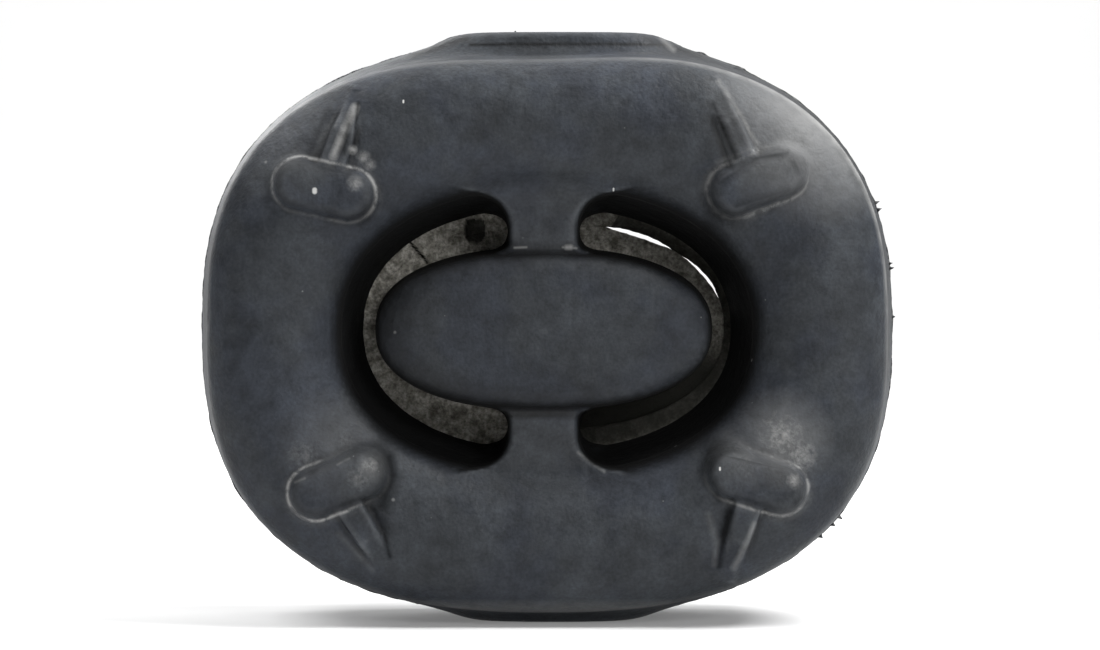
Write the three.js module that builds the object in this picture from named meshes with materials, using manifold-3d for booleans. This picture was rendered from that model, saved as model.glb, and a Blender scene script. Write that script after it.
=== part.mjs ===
// Exhaust hanger: one piece of moulded rubber.
// An oval ring with a crowned face holds an oval boss in its middle on two short webs, above and below.
// Two C-shaped slots beside the boss let it move in the ring. The mould left a thin skin half-way down
// each slot, torn open beside the boss on one side. Four T-shaped buffers stand on the front face, and
// a flat land at the top and at the bottom lies against what holds the hanger.
// Millimetres, +Z up, front towards -Y. The origin is the centre of the bottom land.
import * as THREE from "three";
import { mergeVertices } from "three/addons/utils/BufferGeometryUtils.js";
import Module from "manifold-3d";

const wasm = await Module();
wasm.setup();

// Ring: its outline at the parting line, and its section
const RING_WIDTH = 72;
const RING_HEIGHT = 59.4;
const RING_POWER = 2.55; // exponent of the superellipse: 2 is an ellipse, more is squarer
const RING_THICKNESS = 28;
const CREST_DEPTH = RING_THICKNESS / 2; // from the parting line to the highest line of the crown
const RIM_DEPTH = 0.64 * CREST_DEPTH; // from the parting line to where the side wall turns into the crown
const SIDE_DRAFT = 1.5; // how far the side wall leans in between the parting line and the rim
const RIM_POWER = 2; // squareness of the rounding between side wall and crest
const CREST_SHARE = 0.48; // where the crest lies across the ring, from the rim
const INNER_DROP = 5.4; // fall of the crown from the crest to its inner edge
const INNER_POWER = 2.2; // squareness of the rounding between crest and inner wall
const FIN_HEIGHT = 0.25; // flash left at the parting line
const FIN_THICKNESS = 0.7;

// Inner edge of the crown
const BOWL_WIDTH = 42;
const BOWL_HEIGHT = 29;
const BOWL_POWER = 2.2;

// Slots: the outer wall runs from the crown's inner edge down to this oval at the skin
const SLOT_WIDTH = 38.2;
const SLOT_HEIGHT = 25.1;
const SLOT_POWER = 2.2;
const SLOT_END_HEIGHT = 10.15; // from the boss's centre to the centre of a slot's round end
const SLOT_END_RADIUS = 2;
const SKIN_THICKNESS = 0.8;

// Webs between boss and ring
const WEB_WIDTH = 7.5; // at the narrowest
const WEB_DEPTH = CREST_DEPTH - 3.2; // from the parting line to a web's face
const WEB_EDGE_ROUND = 0.5;
const FOOT_START = 60; // degrees round the slot's end where the web's side turns into the boss
const FLARE_START = 30; // degrees round the slot's end where the web starts to flare
const FLARE_WIDTH = 15; // where the flare meets the ring
const FLARE_HEIGHT = 15; // from the boss's centre to there

// Boss
const BOSS_SHIFT = -0.35; // it and its webs sit a little to the left in the ring
const BOSS_WIDTH = 35.5; // at the parting line
const BOSS_HEIGHT = 17.4;
const BOSS_POWER = 2.3;
const BOSS_DEPTH = CREST_DEPTH - 1.4; // from the parting line to the boss's face
const BOSS_DRAFT = 0.7;
const BOSS_ROUND_WIDTH = 4; // rounding between wall and face, measured across at the boss's ends,
const BOSS_ROUND_HEIGHT = 1.8; // up at its top and bottom
const BOSS_ROUND_DEPTH = 2.2; // and into the depth
const BOSS_ROUND_POWER = 2;

// Tears in the skin of the right slot, along an oval that runs between boss and ring
const TEAR_OVAL_WIDTH = 37.4;
const TEAR_OVAL_HEIGHT = 21.2;
const TEARS = [
  { from: 0.55, to: 0.93, width: 0.6 }, // angles in radians, from straight right towards the top
  { from: 0.17, to: 0.43, width: 0.4 },
];

// Lands at the top and the bottom: their flat, how far it stands out from the ring's outline, and
// the oval root from which their flanks rise
const TOP_LAND = { x: 0.9, length: 20, depth: 11, rise: 1, rootLength: 36, rootDepth: 13, drop: 3.4 };
const FOOT_LAND = { x: 0.6, length: 18, depth: 13, rise: 0.4, rootLength: 30, rootDepth: 15, drop: 2.2 };
const LAND_POWER = 3;

// Buffers: an oval knob with a rib that runs from its outer side to the rim
const KNOB_LENGTH = 10.4; // at the crest
const KNOB_WIDTH = 5.4;
const KNOB_PROUD = 1.5; // above the crest
const KNOB_ROUND = 1.2; // rounding between its face and its side
const KNOB_ROOT = 3; // how deep its root goes below the crest
const KNOB_FLARE = 0.25; // widening of the root for each millimetre down
const RIB_WIDTH = 2.8;
const RIB_TIP_SHARE = 0.4; // width of the rib's tip as a share of its root
const RIB_DROP = 0.4; // from the knob's face down to the rib, at the knob's centre
const RIB_MIDDLE = 0.6; // where the rib's back bends, as a share of its reach
const RIB_MIDDLE_PROUD = 0.6; // above the crest, there
const RIB_TIP_DEPTH = CREST_DEPTH - 2.5; // from the parting line to the rib's back at its tip
const RIB_ROUND = 0.4;
// Places are shares of the ring's half-width and half-height. tilt is the knob's lean in degrees,
// positive with its right end up, reach the length of the rib from the knob's centre, and shift its
// offset along the knob.
const BUFFERS = [
  { across: -0.634, up: 0.485, tilt: -12, reach: 10, shift: 0.9 },
  { across: 0.595, up: 0.508, tilt: 21, reach: 10.8, shift: 0 },
  { across: -0.587, up: -0.517, tilt: 22, reach: 9.3, shift: 0.4 },
  { across: 0.59, up: -0.508, tilt: -17, reach: 9.8, shift: 0 },
].map((buffer) => ({
  ...buffer,
  x: (buffer.across * RING_WIDTH) / 2,
  z: (buffer.up * RING_HEIGHT) / 2,
}));

// Fineness of the curved surfaces
const RING_SEGMENTS = 72;
const RIM_STEPS = 7;
const INNER_STEPS = 6;
const BOSS_STEPS = 6;
const TEAR_STEPS = 6;
const CLEAR = 2; // how far a cutting body runs past what it cuts
const SMALLEST = 0.01; // edges shorter than this are merged in the finished body

const CENTRE_HEIGHT = RING_HEIGHT / 2 + FOOT_LAND.rise;
const RUBBER = new THREE.MeshStandardMaterial({ color: 0x24272c, roughness: 0.55, metalness: 0 });

// A geometry as a solid that can be joined and cut.
function toSolid(geometry) {
  geometry.deleteAttribute("normal");
  geometry.deleteAttribute("uv");
  const merged = mergeVertices(geometry, 1e-4);
  const corners = [];
  for (let i = 0; i < merged.index.count; i += 3) {
    const triangle = [0, 1, 2].map((k) => merged.index.getX(i + k));
    if (new Set(triangle).size === 3) corners.push(...triangle);
  }
  return new wasm.Manifold(
    new wasm.Mesh({
      numProp: 3,
      vertProperties: merged.attributes.position.array,
      triVerts: new Uint32Array(corners),
    }),
  );
}

function toGeometry(solid) {
  const mesh = solid.getMesh();
  const geometry = new THREE.BufferGeometry();
  geometry.setAttribute("position", new THREE.BufferAttribute(mesh.vertProperties, 3));
  geometry.setIndex(new THREE.BufferAttribute(mesh.triVerts, 1));
  geometry.computeVertexNormals();
  return geometry;
}

// Distance from the centre to a superellipse, at an angle measured from straight up.
function ovalRadius(halfWidth, halfHeight, power, angle) {
  const across = Math.abs(Math.sin(angle)) / halfWidth;
  const up = Math.abs(Math.cos(angle)) / halfHeight;
  return (across ** power + up ** power) ** (-1 / power);
}

// A solid turned about Y whose cross-sections are superellipses. Each level has a half-width, a
// half-height, a power and its place y. Levels are listed with y rising, from front to back.
function ovalSolid(levels) {
  const profile = levels.map((level) => new THREE.Vector2(level.halfWidth, level.y));
  const geometry = new THREE.LatheGeometry(profile, RING_SEGMENTS);
  const position = geometry.attributes.position;
  for (let segment = 0; segment <= RING_SEGMENTS; segment++) {
    const angle = (2 * Math.PI * (segment % RING_SEGMENTS)) / RING_SEGMENTS;
    levels.forEach((level, step) => {
      const onAxis = level.halfWidth === 0;
      const radius = onAxis ? 0 : ovalRadius(level.halfWidth, level.halfHeight, level.power, angle);
      const index = segment * levels.length + step;
      position.setXYZ(index, radius * Math.sin(angle), level.y, radius * Math.cos(angle));
    });
  }
  return toSolid(geometry);
}

// Levels of the front half, listed from the parting line to the front, and mirrored to the back.
function bothFaces(frontLevels) {
  const back = frontLevels.filter((level) => level.y > 0).reverse();
  const front = frontLevels.map((level) => ({ ...level, y: -level.y }));
  return [...back, ...front].reverse();
}

// The parameter of a quarter superellipse, for a share of its turn.
function quarter(share, power) {
  const turn = (share * Math.PI) / 2;
  return { across: Math.cos(turn) ** (2 / power), up: Math.sin(turn) ** (2 / power) };
}

// The ring, closed inside by the skin at the parting line.
function ringSolid() {
  const levels = [];
  const oval = (width, height, power, y) =>
    levels.push({ halfWidth: width / 2, halfHeight: height / 2, power, y });
  const outer = (inset, y) =>
    oval(RING_WIDTH - 2 * inset, RING_HEIGHT - 2 * inset, RING_POWER, y);
  outer(-FIN_HEIGHT, 0);
  outer((SIDE_DRAFT * FIN_THICKNESS) / 2 / RIM_DEPTH, FIN_THICKNESS / 2);
  // share runs from 0 at the rim to 1 at the crown's inner edge
  const crown = (share, y) =>
    oval(
      THREE.MathUtils.lerp(RING_WIDTH - 2 * SIDE_DRAFT, BOWL_WIDTH, share),
      THREE.MathUtils.lerp(RING_HEIGHT - 2 * SIDE_DRAFT, BOWL_HEIGHT, share),
      THREE.MathUtils.lerp(RING_POWER, BOWL_POWER, share),
      y,
    );
  for (let step = 0; step <= RIM_STEPS; step++) {
    const { across, up } = quarter(step / RIM_STEPS, RIM_POWER);
    crown(CREST_SHARE * (1 - across), RIM_DEPTH + (CREST_DEPTH - RIM_DEPTH) * up);
  }
  for (let step = 1; step <= INNER_STEPS; step++) {
    const { across, up } = quarter(1 - step / INNER_STEPS, INNER_POWER);
    crown(THREE.MathUtils.lerp(CREST_SHARE, 1, across), CREST_DEPTH - INNER_DROP * (1 - up));
  }
  oval(SLOT_WIDTH, SLOT_HEIGHT, SLOT_POWER, SKIN_THICKNESS / 2);
  oval(0, 0, SLOT_POWER, SKIN_THICKNESS / 2);
  return ovalSolid(bothFaces(levels));
}

function bossSolid() {
  const levels = [];
  const wall = (inset, rounded, y) =>
    levels.push({
      halfWidth: BOSS_WIDTH / 2 - inset - BOSS_ROUND_WIDTH * rounded,
      halfHeight: BOSS_HEIGHT / 2 - inset - BOSS_ROUND_HEIGHT * rounded,
      power: BOSS_POWER,
      y,
    });
  wall(0, 0, 0);
  for (let step = 0; step <= BOSS_STEPS; step++) {
    const { across, up } = quarter(step / BOSS_STEPS, BOSS_ROUND_POWER);
    wall(BOSS_DRAFT, 1 - across, BOSS_DEPTH - BOSS_ROUND_DEPTH * (1 - up));
  }
  levels.push({ halfWidth: 0, halfHeight: 0, power: BOSS_POWER, y: BOSS_DEPTH });
  return ovalSolid(bothFaces(levels));
}

// Turns a geometry made in the XY plane so that its Y becomes Z and its thickness lies along Y,
// centred on the parting line.
function acrossParting(geometry, thickness) {
  geometry.translate(0, 0, -thickness / 2);
  geometry.rotateX(Math.PI / 2);
  return toSolid(geometry);
}

// The upper web. Its sides are the round ends of the slots, and flare out above them to the ring.
function webSolid() {
  const endX = WEB_WIDTH / 2 + SLOT_END_RADIUS;
  const foot = THREE.MathUtils.degToRad(FOOT_START);
  const flare = THREE.MathUtils.degToRad(FLARE_START);
  const footX = endX - SLOT_END_RADIUS * Math.cos(foot);
  const shape = new THREE.Shape();
  shape.moveTo(-footX, 0);
  shape.lineTo(footX, 0);
  shape.absarc(endX, SLOT_END_HEIGHT, SLOT_END_RADIUS, Math.PI + foot, Math.PI - flare, true);
  shape.lineTo(FLARE_WIDTH / 2, FLARE_HEIGHT);
  shape.lineTo(-FLARE_WIDTH / 2, FLARE_HEIGHT);
  shape.absarc(-endX, SLOT_END_HEIGHT, SLOT_END_RADIUS, flare, -foot, true);
  const depth = 2 * (WEB_DEPTH - WEB_EDGE_ROUND);
  const geometry = new THREE.ExtrudeGeometry(shape, {
    depth,
    bevelThickness: WEB_EDGE_ROUND,
    bevelSize: WEB_EDGE_ROUND,
    bevelOffset: -WEB_EDGE_ROUND,
    bevelSegments: 2,
    curveSegments: 8,
  });
  return acrossParting(geometry, depth);
}

// A lens-shaped hole through the skin.
function tearCutter(tear) {
  const shape = new THREE.Shape();
  const point = (share, side) => {
    const angle = Math.PI / 2 - THREE.MathUtils.lerp(tear.from, tear.to, share);
    const radius = ovalRadius(TEAR_OVAL_WIDTH / 2, TEAR_OVAL_HEIGHT / 2, SLOT_POWER, angle);
    const swell = side * (tear.width / 2) * Math.sin(Math.PI * share);
    return [(radius + swell) * Math.sin(angle), (radius + swell) * Math.cos(angle)];
  };
  shape.moveTo(...point(0, 0));
  for (let step = 1; step < TEAR_STEPS; step++) shape.lineTo(...point(step / TEAR_STEPS, 1));
  shape.lineTo(...point(1, 0));
  for (let step = TEAR_STEPS - 1; step > 0; step--) shape.lineTo(...point(step / TEAR_STEPS, -1));
  const depth = SKIN_THICKNESS + 2 * CLEAR;
  return acrossParting(new THREE.ExtrudeGeometry(shape, { depth, bevelEnabled: false }), depth);
}

// A flat land with sloping flanks, standing up at the top of the ring.
function landSolid(land) {
  const level = (length, depth, y) => ({
    halfWidth: length / 2,
    halfHeight: depth / 2,
    power: LAND_POWER,
    y,
  });
  const top = -(RING_HEIGHT / 2 + land.rise);
  return ovalSolid([
    level(0, 0, top),
    level(land.length, land.depth, top),
    level(land.rootLength, land.rootDepth, top + land.drop),
    level(0, 0, top + land.drop),
  ])
    .rotate([-90, 0, 0])
    .translate([land.x, 0, 0]);
}

// Turns a geometry made in the XY plane, with its face towards +Z, to face the front.
function toFront(geometry, buffer) {
  geometry.rotateZ(THREE.MathUtils.degToRad(buffer.tilt));
  geometry.rotateX(Math.PI / 2);
  geometry.translate(buffer.x, 0, buffer.z);
  return toSolid(geometry);
}

// The knob's outline is drawn at its face, and widened towards its root.
function knobSolid(buffer) {
  const radius = KNOB_WIDTH / 2 - KNOB_ROUND;
  const reach = (KNOB_LENGTH - KNOB_WIDTH) / 2;
  const shape = new THREE.Shape();
  shape.absarc(reach, 0, radius, -Math.PI / 2, Math.PI / 2);
  shape.absarc(-reach, 0, radius, Math.PI / 2, (3 * Math.PI) / 2);
  const depth = KNOB_ROOT + KNOB_PROUD - KNOB_ROUND;
  const geometry = new THREE.ExtrudeGeometry(shape, {
    depth,
    bevelThickness: KNOB_ROUND,
    bevelSize: KNOB_ROUND,
    bevelSegments: 3,
    curveSegments: 8,
  });
  const position = geometry.attributes.position;
  for (let i = 0; i < position.count; i++) {
    const widening = 1 + (KNOB_FLARE * Math.max(depth - position.getZ(i), 0)) / KNOB_WIDTH;
    position.setX(i, position.getX(i) * widening);
    position.setY(i, position.getY(i) * widening);
  }
  geometry.translate(0, 0, CREST_DEPTH + KNOB_PROUD - KNOB_ROUND - depth);
  return toFront(geometry, buffer);
}

// The rib's side view is drawn with its length along X, extruded across its width, then stood up.
function ribSolid(buffer) {
  const top = CREST_DEPTH + KNOB_PROUD - RIB_DROP;
  const root = RIM_DEPTH - CLEAR;
  const shape = new THREE.Shape();
  shape.moveTo(0, root);
  shape.lineTo(buffer.reach, root);
  shape.lineTo(buffer.reach, RIB_TIP_DEPTH);
  shape.lineTo(RIB_MIDDLE * buffer.reach, CREST_DEPTH + RIB_MIDDLE_PROUD);
  shape.lineTo(0, top);
  const depth = RIB_WIDTH - 2 * RIB_ROUND;
  const geometry = new THREE.ExtrudeGeometry(shape, {
    depth,
    bevelThickness: RIB_ROUND,
    bevelSize: RIB_ROUND,
    bevelOffset: -RIB_ROUND,
    bevelSegments: 2,
  });
  geometry.translate(0, 0, -depth / 2);
  const position = geometry.attributes.position;
  for (let i = 0; i < position.count; i++) {
    const narrowing = THREE.MathUtils.lerp(1, RIB_TIP_SHARE, position.getX(i) / buffer.reach);
    position.setZ(i, position.getZ(i) * narrowing);
  }
  const outward = Math.sign(buffer.z);
  geometry.rotateX(Math.PI / 2);
  geometry.rotateZ((outward * Math.PI) / 2);
  geometry.translate(buffer.shift, 0, 0);
  return toFront(geometry, buffer);
}

function hangerBody() {
  const middle = bossSolid().add(webSolid()).add(webSolid().rotate([0, 180, 0]));
  let body = ringSolid().add(middle.translate([BOSS_SHIFT, 0, 0]));
  for (const tear of TEARS) body = body.subtract(tearCutter(tear));
  body = body.add(landSolid(TOP_LAND)).add(landSolid(FOOT_LAND).rotate([180, 0, 0]));
  for (const buffer of BUFFERS) body = body.add(knobSolid(buffer)).add(ribSolid(buffer));
  const mesh = new THREE.Mesh(toGeometry(body.simplify(SMALLEST)), RUBBER);
  mesh.name = "hanger_body";
  mesh.position.z = CENTRE_HEIGHT;
  return mesh;
}

const hanger = new THREE.Group();
hanger.add(hangerBody());

export default hanger;
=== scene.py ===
import math

import bpy
import numpy as np
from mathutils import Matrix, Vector


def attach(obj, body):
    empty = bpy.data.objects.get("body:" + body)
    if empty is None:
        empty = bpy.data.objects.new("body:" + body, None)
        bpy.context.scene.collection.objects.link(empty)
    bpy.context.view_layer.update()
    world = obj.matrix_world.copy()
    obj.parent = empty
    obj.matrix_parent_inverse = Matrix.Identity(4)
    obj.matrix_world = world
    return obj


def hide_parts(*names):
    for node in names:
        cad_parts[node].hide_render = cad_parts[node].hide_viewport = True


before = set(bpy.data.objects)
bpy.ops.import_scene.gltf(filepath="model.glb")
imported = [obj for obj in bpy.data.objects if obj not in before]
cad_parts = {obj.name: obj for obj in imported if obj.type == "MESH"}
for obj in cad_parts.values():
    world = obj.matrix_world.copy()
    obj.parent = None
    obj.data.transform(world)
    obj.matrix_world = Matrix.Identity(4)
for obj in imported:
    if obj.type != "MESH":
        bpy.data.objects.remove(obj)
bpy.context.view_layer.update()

# Sizes in millimetres, from the boss's centre: X right, Y back, Z up
MM = 0.001
CENTRE_HEIGHT = 30.1
VOXEL = 0.46  # step of the grid that the body is sampled on
SKIRT = 1.2  # how far the sampled box reaches past the body

RING_WIDTH = 72.0
RING_HEIGHT = 59.4
RING_POWER = 2.54
FULLNESS = 0.009  # the ring stands out a little more at its upper right, as a share of its radius
RIM_FULLNESS = 0.028  # and so does its rim
FULL_ANGLE = 28  # degrees from straight up
FULL_POWER = 8
FULL_FROM = 20.0  # distance from the centre where this starts
FULL_OVER = 10.0  # and the distance over which it grows
RIM_FULLNESS_LEFT = 0.014  # the rim alone does so at its upper left too
CREST = 14.0  # the depth of the ring's crest, from the parting plane
RIM = 9.0  # and of its rim, where it starts to round over to the crest
SIDE_DRAFT = 1.2  # how far the rim lies inside the parting line, at the sides
TOP_DRAFT = 1.6  # and at the top and bottom
RIM_FULL = 0.12  # how much squarer the rim is than the parting line
RIM_DROP = 0.75  # and how much lower it sits
RIM_POWER = 2.0
CREST_SHARE = 0.48  # where the crest lies between the rim and the bowl
INNER_DROP = 5.4  # from the crest to the bowl's edge
INNER_POWER = 2.2
# Ovals: width, height and the power that makes them squarer
BOWL = (42.0, 29.0, 2.2)
SLOT = (38.2, 25.1, 2.2)
SLOT_CLOSE = 4.0  # the slot's wall leans in by this much past the parting plane, where it isn't used
BOSS = (35.5, 17.4, 2.3)
BOSS_SPREAD = 0.6  # and the boss's wall leans out
BOSS_SHIFT = -0.35  # of the boss and its webs, to the left
BOSS_FACE = 12.6
BOSS_DRAFT = 0.7
BOSS_DARK_SIDE = 30  # degrees that the side where its edge gets the most painted shade lies below straight left
BOSS_ROUND = (4.3, 1.9, 2.3)  # of the edge of its face: across, up, and into the depth
BOSS_ROUND_POWER = 2.0
BOSS_BLEND = 0.5

WEB_WIDTH = 7.5
WEB_FACE = 10.8
WEB_DRAFT = 0.02
WEB_EDGE = 1.0
WEB_BLEND = 1.6
WEB_END = 17.0  # height where it ends, inside the ring
WEB_BURIED = 2.0  # how much it widens for each millimetre above the flare
SKIN_DEPTH = 1.5  # up to this depth a web's sides follow the slot's round ends
FLARE_DEPTH = 7.0  # and from this depth on they flare
SLOT_END_HEIGHT = 10.15
SLOT_END_RADIUS = 2.0
FLARE_START = 10.4  # height above the boss's centre where the web's face starts to widen to the ring
FLARE_RADIUS = 3.7
FOOT_START = 9.3  # and where it starts to widen to the boss
FOOT_RADIUS = 1.2

# Lands: half their length and depth at the flat and at the root
LANDS = [
    {"side": 1, "x": 0.9, "top": (10.0, 5.5), "root": (18.0, 6.5), "rise": 1.0, "drop": 3.4},
    {"side": -1, "x": 0.6, "top": (9.0, 6.5), "root": (15.0, 7.5), "rise": 0.4, "drop": 2.2},
]
LAND_POWER = 3
LAND_LEAN = 0.8  # turns distance along the land's plane into distance from its sloping flank
LAND_EDGE = 0.6
LAND_BLEND = 0.8
LAND_ROOM = 1.5  # room for the lands in the sampled box

KNOB = (10.4, 5.4)  # length and width
KNOB_PROUD = 1.5
KNOB_FLANK = 0.7  # how far its flank leans in from the crest to its face
KNOB_CROWN = 0.02
RIB = (1.6, 1.1)  # half its width at the knob and at the tip
RIB_BACK = [(0, KNOB_PROUD - 0.3), (0.6, 0.85), (1, -2.3)]  # its height along its length
RIB_LEAN = 0.2  # of its sides
RIB_PAST = 0.4
BUFFER_EDGE = 0.45
BUFFER_JOIN = 0.4
BUFFER_ROOT = 4.0  # how far a buffer goes into the ring
BUFFER_REACH = 16.0  # nothing of a buffer is further than this from its knob's centre
# tilt is the knob's lean in degrees, right end up, and lean the rib's, its upper end to the right.
# reach is from the knob's centre to the rib's tip, and shift the rib's offset along the knob.
# Dust lies in the crease round a knob on the side at the angle dusty, from straight up to the right,
# from as far as spread in millimetres from the knob's centre, as a line of a half width and strength.
BUFFERS = [
    {"x": -22.5, "z": 14.3, "tilt": -12, "lean": 19, "reach": 10.4, "shift": 0.0,
     "dusty": 20, "spread": -1.5, "line": 0.3, "dust": 0.75},
    {"x": 21.3, "z": 15.1, "tilt": 21, "lean": -23, "reach": 10.9, "shift": -0.5,
     "dusty": 30, "spread": -4.5, "line": 0.45, "dust": 0.4},
    {"x": -21.1, "z": -15.4, "tilt": 22, "lean": -31, "reach": 10.9, "shift": -0.2,
     "dusty": 225, "spread": 0.5, "line": 0.3, "dust": 0.85},
    {"x": 21.2, "z": -15.1, "tilt": -17, "lean": 17, "reach": 10.4, "shift": -0.1,
     "dusty": 140, "spread": 0.0, "line": 0.3, "dust": 0.65},
]

ANGLES = 1440  # entries in the tables of radius against angle
RIM_STEPS = 18  # levels in the section's roundings
INNER_STEPS = 18
BOSS_STEPS = 10
SETTLE_STEPS = 2  # times that the sampled points are moved onto the surface
SETTLE_LIMIT = 0.3  # how far at most, as a share of the slope
LEAST_SLOPE = 0.05
WAVES = 6  # plane waves in each octave of noise
WAVE_LEVEL = 2.4

# The mould skin in the slots. Angles are in degrees from straight up, down each side to straight down.
SKIN_START = 15  # inside the web
SKIN_COLUMNS = 260
SKIN_ROWS = 12  # on each side of the tear line
SKIN_THICKNESS = 0.5
SKIN_HOLD = 0.6  # how far it reaches into the boss and the ring
SKIN_OVERLAP = 0.3  # of its two parts, where one lies behind the other
RECESS = {"x": -7.5, "z": 10.25, "width": 2.0, "height": 2.4, "depth": 0.9}
CRACK = {"from": (-14.0, 8.7), "to": (-12.8, 7.3), "width": 0.1, "depth": 0.8, "past": 0.5}
SKIN_ROUGH = 0.16
SKIN_ROUGH_SIZE = 2.4
RAGGED = 0.05  # of the torn edge
RAGGED_SIZE = 9.0  # in degrees
SKIN_WHOLE = 32  # degrees up to which the right skin is whole
SKIN_DIM = (84, 106)  # degrees over which its dust thins out and painted shade darkens it

# Tear line of the right skin: its place between boss (0) and ring (1), and half its opening
TEAR_PLACE = [(15, 0.6), (33, 0.62), (57, 0.6), (80, 0.55), (100, 0.5), (120, 0.48), (165, 0.45)]
TEAR_HALF = [
    (30, 0), (36, 0.2), (45, 0.26), (52, 0.22), (58, 0),
    (61, 0), (68, 0.15), (74, 0.17), (81, 0),
]
# How far its two edges have gone back
INNER_BACK = [(15, 0), (40, 0.2), (90, 0.3), (110, 0.5), (130, 1.0), (145, 0.7), (155, 0)]
OUTER_BACK = [(15, 0), (31, 0), (36, 1.6), (80, 1.2), (95, 0.5), (110, -0.1), (155, 0)]

# Flash along the parting line, and the whiskers that it ends in: angle, height, width in degrees
FLASH_STEPS = 2400
FLASH_HEIGHT = 0.1
FLASH_HOLD = 0.3  # how far its root lies inside the body
FLASH_ROOT = 0.22  # half its thickness at the root
FLASH_TIP = 0.05  # and at the tip
FLASH_NOISE_SIZE = 5.0
FLASH_SWAY = 0.06
FLASH_SWAY_SIZE = 1.6
FLASH_CIRCLE = 33.0  # radius of the circle on which its noise is taken
FLOOR_GAP = 0.03  # between the flash and the floor
OUTLINE_LIMITS = (22.0, 44.0)  # the outline lies between these distances from the centre
OUTLINE_STEPS = 24  # halvings that find it
WHISKERS = [
    (-6.1, 0.35, 0.4),
    (29.5, 0.2, 1.2),
    (69.0, 0.45, 0.3),
    (70.2, 0.5, 0.35),
    (79.2, 0.35, 0.2),
    (80.0, 0.5, 0.25),
    (88.0, 0.3, 0.2),
    (122.8, 0.6, 0.3),
    (124.4, 0.45, 0.35),
    (127.2, 0.4, 0.4),
]
SEED = 7

# How wear and painted shade are stored on the body's points
WEAR_AND_SHADE_REACH = 0.6
WEAR_AND_SHADE_SPAN = 0.3
BOWL_MARGIN = 5.0  # the bowl's painted shade starts this far outside its floor's edge
BOWL_FADE = 4.0  # and is full after this much more
STEEP = (0.25, 0.97)  # how far a normal points along Y on a wall and on a face
SIDE_SHADE = {"x": (25, 33), "z": (12, 20), "strength": 0.2}  # painted shade on the middle of both sides

# Sizes of the rubber's noises in millimetres, and how deep its bumps are
CLOUD_SIZE = 9.0
PATCH_SIZE = 5.0
DENT_SIZE = 2.2
MOTTLE_SIZE = 1.6
GRAIN_SIZE = 0.35
DENT_DEPTH = 0.08
MOTTLE_DEPTH = 0.09
GRAIN_DEPTH = 0.05
SPREAD = (0.3, 0.7)  # where nearly all values of a noise lie

SLATE_BLUE = (0.0220, 0.0256, 0.0325, 1)
SLATE_GREY = (0.0260, 0.0294, 0.0340, 1)
RUBBED = (0.105, 0.112, 0.120, 1)
# Chalk and dust, and also the painted highlights and sheen on the front and the rim
CHALK_AND_HIGHLIGHT_COLOR = (0.26, 0.26, 0.255, 1)
SPECK_COLOR = (0.45, 0.45, 0.44, 1)
SKIN_BROWN = (0.125, 0.119, 0.100, 1)
SKIN_PALE = (0.40, 0.385, 0.345, 1)
# The colour of the skin's painted shade
SKIN_SHADE = (0.009, 0.009, 0.0065, 1)
RUBBED_SHARE = 0.55
SPECK_SHARE = 0.22
# What is left of the colour where painted shade, or a dark mark on the top land, darkens it fully
LEFT = {"shade": 0.25, "front_shade": 0.05, "land": 0.1, "wall": 0.2, "bowl": 0.04}

# Marks are placed in the front view, in millimetres from the boss's centre
POINT_HALF = 0.01  # half the height of a round mark's middle
SPOT_HALF = 0.1  # and of a bright speck's
SUNNY = (29.0, 20.0, 26.0)  # the upper right of the rim, where its painted highlight and the painted shade on its wall are strongest: x, z and reach
# Bright specks on the front: x, z and reach
SPOTS = [
    (-23.35, 14.15, 0.3),
    (-14.5, 23.2, 0.11),
    (17.4, -13.8, 0.13),
    (6.75, 14.35, 0.11),
]
# Chalky patches and smooth haze: x, z, reach and strength
CHALK = [
    (23.8, -10.6, 3.6, 1.0),
    (25.5, -12.4, 2.4, 1.0),
    (20.0, -12.6, 3.0, 0.4),
    (24.9, -14.9, 1.1, 1.0),
    (-19.6, 18.3, 0.6, 1.0),
    (-18.5, 17.5, 0.9, 0.8),
    (-17.9, 16.8, 0.8, 0.8),
    (-19.3, 14.9, 1.0, 0.9),
    (-17.8, -13.4, 1.2, 1.1),
    (-18.9, -14.6, 1.6, 0.5),
    (22.8, 20.8, 3.4, 0.4),
    (-24.5, -12.5, 2.5, 0.35),
    (-20.5, -11.0, 2.0, 0.25),
    (24.6, 17.3, 1.3, 0.6),
]
# Painted sheen on the upper right and upper left of the ring, and pale dust haze round the chalk lower down
SHEEN_AND_DUST_HAZE = [
    (27.9, 22.6, 12.5, 0.72),
    (23.8, -10.8, 5.5, 0.45),
    (20.0, -12.3, 4.0, 0.25),
    (-22.0, -11.6, 6.0, 0.16),
    (-17.8, -13.6, 2.0, 0.4),
    (-27.0, 20.0, 8.0, 0.16),
]
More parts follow.
